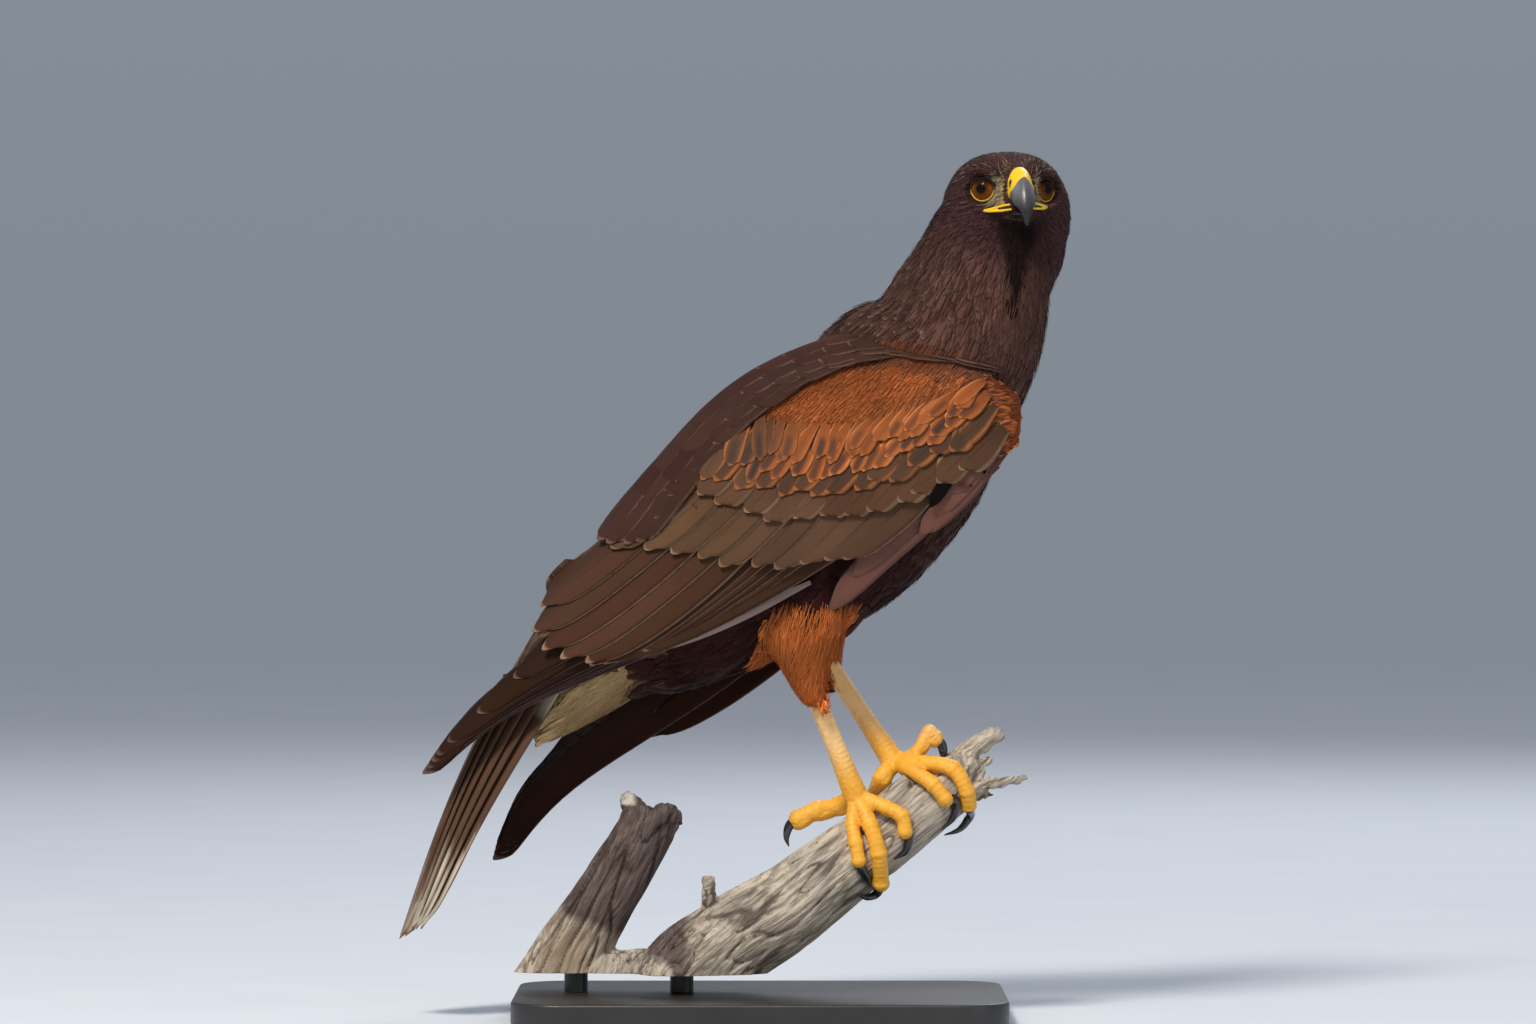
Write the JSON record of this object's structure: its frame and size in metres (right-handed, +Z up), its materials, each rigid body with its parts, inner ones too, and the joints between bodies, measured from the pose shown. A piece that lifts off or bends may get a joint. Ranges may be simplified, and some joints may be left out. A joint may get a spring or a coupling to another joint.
{
  "type": "harris hawk on a perch",
  "caption": "Life-size still model of a Harris's hawk gripping a forked length of dead branch, head turned to one side, on short rods over a flat base.",
  "frame": {"origin": "on the underside of the base, below the middle of the picture's frame", "axes": "+Z up, +X the way the breast points, +Y to the bird's left; the picture looks along +Y"},
  "size_m": [0.3435, 0.17, 0.4407],
  "materials": {
    "plumage_dark": "matt dark brown feathers",
    "plumage_wing": "brown flight feathers and coverts, rufous shoulder",
    "plumage_tail": "dark brown feathers with white ends",
    "plumage_white": "soft white feathers",
    "plumage_rufous": "soft rufous feathers",
    "eye": "glossy, dark amber iris",
    "cere": "smooth yellow skin",
    "horn": "blue-grey horn, dark at the tip",
    "leg_skin": "scaled yellow skin",
    "claw": "glossy black horn",
    "dead_wood": "weathered grey dead wood",
    "stand": "satin black"
  },
  "bodies": {
    "root": {"torso": "plumage_dark", "neck": "plumage_dark", "head": "plumage_dark", "eye_right": "eye", "eye_left": "eye", "cere": "cere", "bill_upper": "horn", "bill_lower": "horn", "wing_right": "plumage_wing", "wing_left": "plumage_wing", "tail": "plumage_tail", "vent_coverts": "plumage_white", "thigh_right": "plumage_rufous", "thigh_left": "plumage_rufous", "tarsus_right": "leg_skin", "tarsus_left": "leg_skin", "toe_right_1": "leg_skin", "toe_right_2": "leg_skin", "toe_right_3": "leg_skin", "toe_right_4": "leg_skin", "toe_left_1": "leg_skin", "toe_left_2": "leg_skin", "toe_left_3": "leg_skin", "toe_left_4": "leg_skin", "claw_right_1": "claw", "claw_right_2": "claw", "claw_right_3": "claw", "claw_right_4": "claw", "claw_left_1": "claw", "claw_left_2": "claw", "claw_left_3": "claw", "claw_left_4": "claw", "perch": "dead_wood", "stand_base": "stand", "stand_rod_1": "stand", "stand_rod_2": "stand"}
  },
  "joints": []
}
